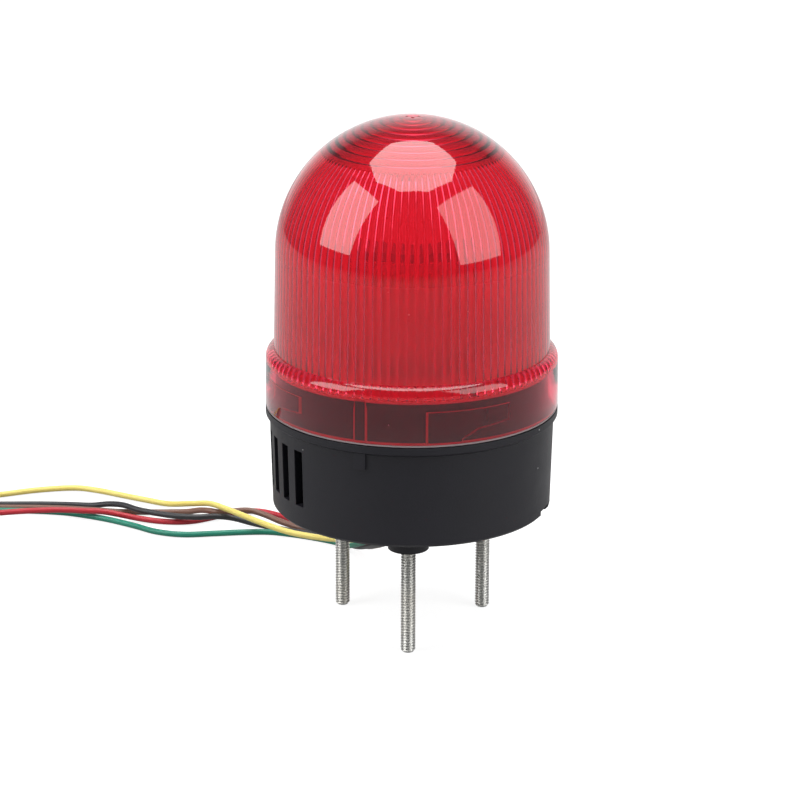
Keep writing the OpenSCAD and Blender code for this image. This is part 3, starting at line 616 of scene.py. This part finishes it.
def wall_angles():
    """Angles from the front at which the bore steps in or out."""
    walls = [-INDEX_ANGLE - INDEX_HALF, -INDEX_ANGLE + INDEX_HALF]
    for i in range(TRACKS):
        start = TRACK_START + TRACK_SPACING * i
        walls += [start, start + MOUTH_ANGLE, start + MOUTH_ANGLE + POCKET_ANGLE]
    return walls


def snapped(angle, step):
    """A column's angle, moved beside a wall that runs between it and the next column."""
    for wall in wall_angles():
        off = (angle - wall + 180.0) % 360.0 - 180.0
        if abs(off) < step:
            return wall + math.copysign(WALL_EDGE, off)
    return angle


def clamp(value):
    return min(max(value, 0.0), 1.0)


def press_flute(vert, angle, frost):
    """Moves a vertex of the fluted zone inwards, or down on the ledge, and says how matt it is."""
    inward = (Vector((0, 0, min(vert.co.z, DOME_Z))) - vert.co).normalized()
    depth = FLUTE_DEPTH
    if vert.co.z < LEDGE_Z + LEDGE_MARGIN:
        inward, depth = Vector((0, 0, -1)), 2 * LEDGE_RISE
        vert[frost] = LEDGE_FROST
    else:
        vert[frost] = clamp((FROST_TOP_Z - vert.co.z) / FROST_FADE)
    vert.co += inward * depth * lenslet(angle)


def finish_lens_faces(bm, bored):
    """Gives the rim and the walls of the bore, which show as lines through the skirt, their own finish."""
    for face in bm.faces:
        outward = Vector((*face.calc_center_median().xy, 0)).normalized()
        wall = all(vert[bored] for vert in face.verts) and abs(face.normal.dot(outward)) < WALL_FACING
        rim = any(vert[bored] == 1 for vert in face.verts)
        face.material_index = 1 if wall or rim else 0


def make_lens():
    """Spins the plain profile, then moves its inner rows to the flutes and to the bore."""
    bm = bmesh.new()
    fluted = bm.verts.layers.int.new("fluted")
    bored = bm.verts.layers.int.new("bored")
    frost = bm.verts.layers.float.new("frost")
    outside, flutes = lens_outside(), flute_rows()
    bore = [(BORE_R, RIM_Z + 1.0 + row) for row in range(BORE_ROWS)]
    verts, _ = profile_edges(bm, outside + bore + flutes + ring_rows())
    bore_start = len(outside)
    flute_start = bore_start + BORE_ROWS
    ring_start = flute_start + len(flutes)
    for row, vert in enumerate(verts[bore_start:flute_start]):
        vert[bored] = row + 1
    for vert in verts[flute_start:ring_start]:
        vert[fluted] = 1
    for vert in verts[ring_start:]:
        vert[frost] = RING_FROST
    spin_full(bm, FLUTES * FLUTE_STEPS)
    step = 360.0 / FLUTES / FLUTE_STEPS
    for vert in bm.verts:
        angle = math.degrees(math.atan2(vert.co.x, -vert.co.y))
        if vert[fluted]:
            press_flute(vert, angle, frost)
        elif vert[bored]:
            angle = snapped(angle, step)
            radius, height = bore_point(vert[bored] - 1, angle)
            turn = math.radians(angle)
            vert.co = (radius * math.sin(turn), -radius * math.cos(turn), height)
    bmesh.ops.remove_doubles(bm, verts=bm.verts, dist=MERGE_DIST)
    bmesh.ops.dissolve_degenerate(bm, edges=bm.edges, dist=MERGE_DIST)
    bmesh.ops.recalc_face_normals(bm, faces=bm.faces)
    finish_lens_faces(bm, bored)
    new_piece("lens_dome", bm, [LENS_RED, LENS_EDGE], "lens", ["lens"], sharp=30)


make_lens()

# Studs: a rolled thread on each, a plain neck through the base, and a hex head inside it
STUD_R = 2.5
STUD_MINOR_R = 1.92
STUD_PITCH = 1.0
STUD_STEPS = 36
STUD_RIDGE = [
    (STUD_R - 0.06, 0.0), (STUD_R, 0.06), (STUD_R, 0.16), (STUD_R - 0.06, 0.22),
    (STUD_MINOR_R + 0.04, 0.55), (STUD_MINOR_R, 0.61), (STUD_MINOR_R + 0.04, 0.67),
    (STUD_R - 0.06, STUD_PITCH)]
STUD_TIP_R = 1.75
STUD_TIP_SLOPE = 0.9
STUD_NECK_R = 3.0
STUD_NECK_STEPS = 48
STUD_TOP_Z = 9.8
STUD_FLATS = 8.0
STUD_HEAD_R = STUD_FLATS / 2 / math.cos(math.radians(30))
STUD_HEAD_H = 3.5
STUD_CIRCLE_R = 28.0
STUD_ANGLES = {"front": 0, "right": 120, "left": 240}
THREAD_MERGE = 0.002
CUT_DIST = 1e-4


def make_thread():
    """A rolled thread from the stud's tip to its seat: one turn of the ridge, doubled up to its length."""
    bm = bmesh.new()
    low = FLOOR_Z - STUD_PITCH
    verts, edges = profile_edges(bm, [(radius, low + height) for radius, height in STUD_RIDGE])
    bmesh.ops.spin(bm, geom=verts + edges, cent=(0, 0, 0), axis=(0, 0, 1),
                   dvec=(0, 0, STUD_PITCH / STUD_STEPS), angle=2 * math.pi, steps=STUD_STEPS)
    turns = 1
    while turns * STUD_PITCH < -low:
        double(bm, Matrix.Translation((0, 0, turns * STUD_PITCH)))
        turns *= 2
    bmesh.ops.remove_doubles(bm, verts=bm.verts, dist=THREAD_MERGE)
    for height, side in ((FLOOR_Z, -1), (0.0, 1)):
        bmesh.ops.bisect_plane(bm, geom=everything(bm), dist=CUT_DIST, plane_co=(0, 0, height),
                               plane_no=(0, 0, side), clear_outer=True)
    for vert in bm.verts:
        radius = math.hypot(vert.co.x, vert.co.y)
        limit = STUD_TIP_R + (vert.co.z - FLOOR_Z) * STUD_TIP_SLOPE
        if radius > limit:
            vert.co.xy *= limit / radius
    fill_ends(bm)
    return bm


def make_stud_shape():
    """A whole stud on the axis, with a mask that is 1 on the crests and 0 in the valleys, which places the
    painted valley shade.
    """
    bm = make_thread()
    neck = (STUD_NECK_STEPS, STUD_NECK_R, 0.0, STUD_TOP_Z)
    head = (6, STUD_HEAD_R, STUD_TOP_Z, STUD_HEAD_H)
    for segments, radius, foot, depth in (neck, head):
        added = bmesh.ops.create_cone(bm, cap_ends=True, segments=segments, radius1=radius, radius2=radius,
                                      depth=depth)
        bmesh.ops.translate(bm, vec=(0, 0, foot + depth / 2), verts=added["verts"])
    bmesh.ops.recalc_face_normals(bm, faces=bm.faces)
    crest = bm.verts.layers.float.new("crest")
    for vert in bm.verts:
        radius = math.hypot(vert.co.x, vert.co.y)
        vert[crest] = clamp((radius - STUD_MINOR_R) / (STUD_R - STUD_MINOR_R))
    return bm


def make_stud(name, angle, shape):
    bm = shape.copy()
    turn = math.radians(angle)
    place = (STUD_CIRCLE_R * math.sin(turn), -STUD_CIRCLE_R * math.cos(turn), 0)
    bmesh.ops.translate(bm, vec=place, verts=bm.verts)
    new_piece("thread_" + name, bm, [STUD_ZINC], "base", ["stud_" + name], sharp=50)


stud_shape = make_stud_shape()
for stud_name, stud_angle in STUD_ANGLES.items():
    make_stud(stud_name, stud_angle, stud_shape)
stud_shape.free()

# Finishes of the CAD pieces that keep their shape
FINISHES = {
    "base_housing": BASE_BLACK, "seal_ring": SEAL_PALE, "deck_plate": DECK_WHITE, "deck_screws": SCREW_ZINC,
    "led_mast": MAST_ALUMINIUM, "mast_screws": SCREW_ZINC, "mast_terminal": TERMINAL_CREAM,
    "mast_leads": INNER_LEAD_WHITE, "main_board": BOARD_GREEN, "board_screws": SCREW_ZINC,
    "sounder": SOUNDER_BLACK, "capacitor": CAPACITOR_BLUE, "regulator": REGULATOR_BLACK,
    "cable_grommet": GROMMET_BLACK,
}
for side in ("front", "right", "back", "left"):
    FINISHES["led_board_" + side] = LAMP_BOARD_WHITE
    FINISHES["led_emitters_" + side] = LAMP_WHITE
for node_name, finish in FINISHES.items():
    nodes[node_name].material_slots[0].material = finish

# Floor, in metres: pairs are values near and far, or in front and behind
FLOOR_REACH = 1.5
FLOOR_STEPS = 96
FLOOR_DROP = 0.0002
FLOOR_FADE = (0.45, 1.4)
FLOOR_GREYS = ((0.3, 0.3, 0.3), (0.13, 0.13, 0.13))
FLOOR_SEEN = (0.86, 1.0)
FLOOR_DEPTH = (-0.3, 0.5)
FLOOR_MIRRORED = (0.04, 0.46)
THROUGH_GLASS = 0.42

# Room, by the Y of a direction, and softboxes
ROOM_FADE = (0.7, 0.95)
DIM_ROOM = (0.14, 0.14, 0.145)
BRIGHT_ROOM = (1.15, 1.15, 1.15)
WHITE = (1.0, 1.0, 1.0)
SOFTBOX_DISTANCE = 1.3
RIM_GLOW = 0.68
SOFT_EDGE = 0.09
SOFT_MIDDLE = 0.3


def stage_object(name, bm, material):
    """An object around the beacon, from a bmesh in metres."""
    mesh = bpy.data.meshes.new(name)
    bm.to_mesh(mesh)
    bm.free()
    mesh.materials.append(material)
    made = bpy.data.objects.new(name, mesh)
    scene.collection.objects.link(made)
    return made


def floor_finish():
    """Pale under the lamps; glows white for the camera, and less through glass and in reflections."""
    material, tree, output = new_tree("floor_pale")
    place = object_coordinates(tree)
    away = add_node(tree, "ShaderNodeVectorMath", operation="LENGTH")
    split = add_node(tree, "ShaderNodeSeparateXYZ")
    tree.links.new(place, away.inputs[0])
    tree.links.new(place, split.inputs[0])
    distance = away.outputs["Value"]
    diffuse = add_node(tree, "ShaderNodeBsdfDiffuse")
    grey = mix_colours(tree, map_range(tree, distance, *FLOOR_FADE), *FLOOR_GREYS)
    tree.links.new(grey, diffuse.inputs["Color"])
    path = add_node(tree, "ShaderNodeLightPath")
    level = map_range(tree, distance, *FLOOR_FADE, *FLOOR_SEEN)
    seen = math_node(tree, "MULTIPLY", path.outputs["Is Camera Ray"], level)
    through = math_node(tree, "MULTIPLY_ADD", path.outputs["Is Transmission Ray"], THROUGH_GLASS, seen)
    mirrored = map_range(tree, split.outputs["Y"], *FLOOR_DEPTH, *FLOOR_MIRRORED)
    strength = math_node(tree, "MULTIPLY_ADD", path.outputs["Is Glossy Ray"], mirrored, through)
    glow = add_node(tree, "ShaderNodeEmission", {"Color": (*WHITE, 1.0)})
    tree.links.new(strength, glow.inputs["Strength"])
    both = add_node(tree, "ShaderNodeAddShader")
    tree.links.new(diffuse.outputs[0], both.inputs[0])
    tree.links.new(glow.outputs[0], both.inputs[1])
    tree.links.new(both.outputs[0], output.inputs["Surface"])
    return material


def make_floor():
    """A round pale table top that shows white to the camera and keeps a soft shadow."""
    bm = bmesh.new()
    bmesh.ops.create_circle(bm, cap_ends=True, segments=FLOOR_STEPS, radius=FLOOR_REACH)
    bmesh.ops.translate(bm, vec=(0, 0, FLOOR_Z * MM - FLOOR_DROP), verts=bm.verts)
    floor = stage_object("floor", bm, floor_finish())


def make_world():
    """White to camera and transmission rays; for the rest a room that is bright behind and dim in front."""
    world = bpy.data.worlds.new("studio")
    scene.world = world
    world.use_nodes = True
    tree = world.node_tree
    tree.nodes.clear()
    output = tree.nodes.new("ShaderNodeOutputWorld")
    background = add_node(tree, "ShaderNodeBackground", {"Strength": 1.0})
    direction = add_node(tree, "ShaderNodeTexCoord")
    split = add_node(tree, "ShaderNodeSeparateXYZ")
    tree.links.new(direction.outputs["Generated"], split.inputs[0])
    room = mix_colours(tree, map_range(tree, split.outputs["Y"], *ROOM_FADE), DIM_ROOM, BRIGHT_ROOM)
    path = add_node(tree, "ShaderNodeLightPath")
    plain = math_node(tree, "MAXIMUM", path.outputs["Is Camera Ray"], path.outputs["Is Transmission Ray"])
    tree.links.new(mix_colours(tree, plain, room, WHITE), background.inputs["Color"])
    tree.links.new(background.outputs[0], output.inputs["Surface"])


def softbox_finish(name, strength):
    """A glow that fades towards the panel's rim."""
    material, tree, output = new_tree(name)
    glow = add_node(tree, "ShaderNodeEmission", {"Color": (*WHITE, 1.0)})
    level = math_node(tree, "MULTIPLY", vertex_mask(tree, "glow"), strength)
    tree.links.new(level, glow.inputs["Strength"])
    tree.links.new(glow.outputs[0], output.inputs["Surface"])
    return material


def make_softbox(name, azimuth, elevation, size, strength, sides=4, turn=0.0):
    """A flat glowing panel that faces the dome, by angles from the front."""
    bm = bmesh.new()
    bmesh.ops.create_circle(bm, cap_ends=True, segments=sides, radius=0.5 / math.cos(math.pi / sides))
    upright = Matrix.Rotation(math.pi / sides + turn, 3, "Z")
    bmesh.ops.rotate(bm, cent=(0, 0, 0), matrix=upright, verts=bm.verts)
    glow = bm.verts.layers.float.new("glow")
    for share, thickness in ((RIM_GLOW, SOFT_EDGE), (1.0, SOFT_MIDDLE)):
        inner = min(bm.faces, key=lambda face: face.calc_center_median().length)
        bmesh.ops.inset_region(bm, faces=[inner], thickness=thickness)
        for vert in inner.verts:
            vert[glow] = share
    bmesh.ops.scale(bm, vec=(size[0], size[1], 1), verts=bm.verts)
    a, e = math.radians(azimuth), math.radians(elevation)
    towards = Vector((math.sin(a) * math.cos(e), -math.cos(a) * math.cos(e), math.sin(e)))
    place = Matrix.Translation(Vector((0, 0, DOME_Z * MM)) + towards * SOFTBOX_DISTANCE)
    facing = towards.to_track_quat("Z", "Y").to_matrix().to_4x4()
    bmesh.ops.transform(bm, matrix=place @ facing, verts=bm.verts)
    bmesh.ops.reverse_faces(bm, faces=bm.faces)
    panel = stage_object(name, bm, softbox_finish(name, strength))
    panel.visible_camera = False


make_floor()
make_world()
make_softbox("softbox_top", 166, 88.5, (1.3, 1.3), 5.0, sides=8, turn=math.radians(18))
make_softbox("softbox_left", -66, 30, (0.78, 1.14), 4.2)
make_softbox("softbox_right", 60, 27, (0.99, 1.25), 3.0)
scene.view_settings.view_transform = "Standard"
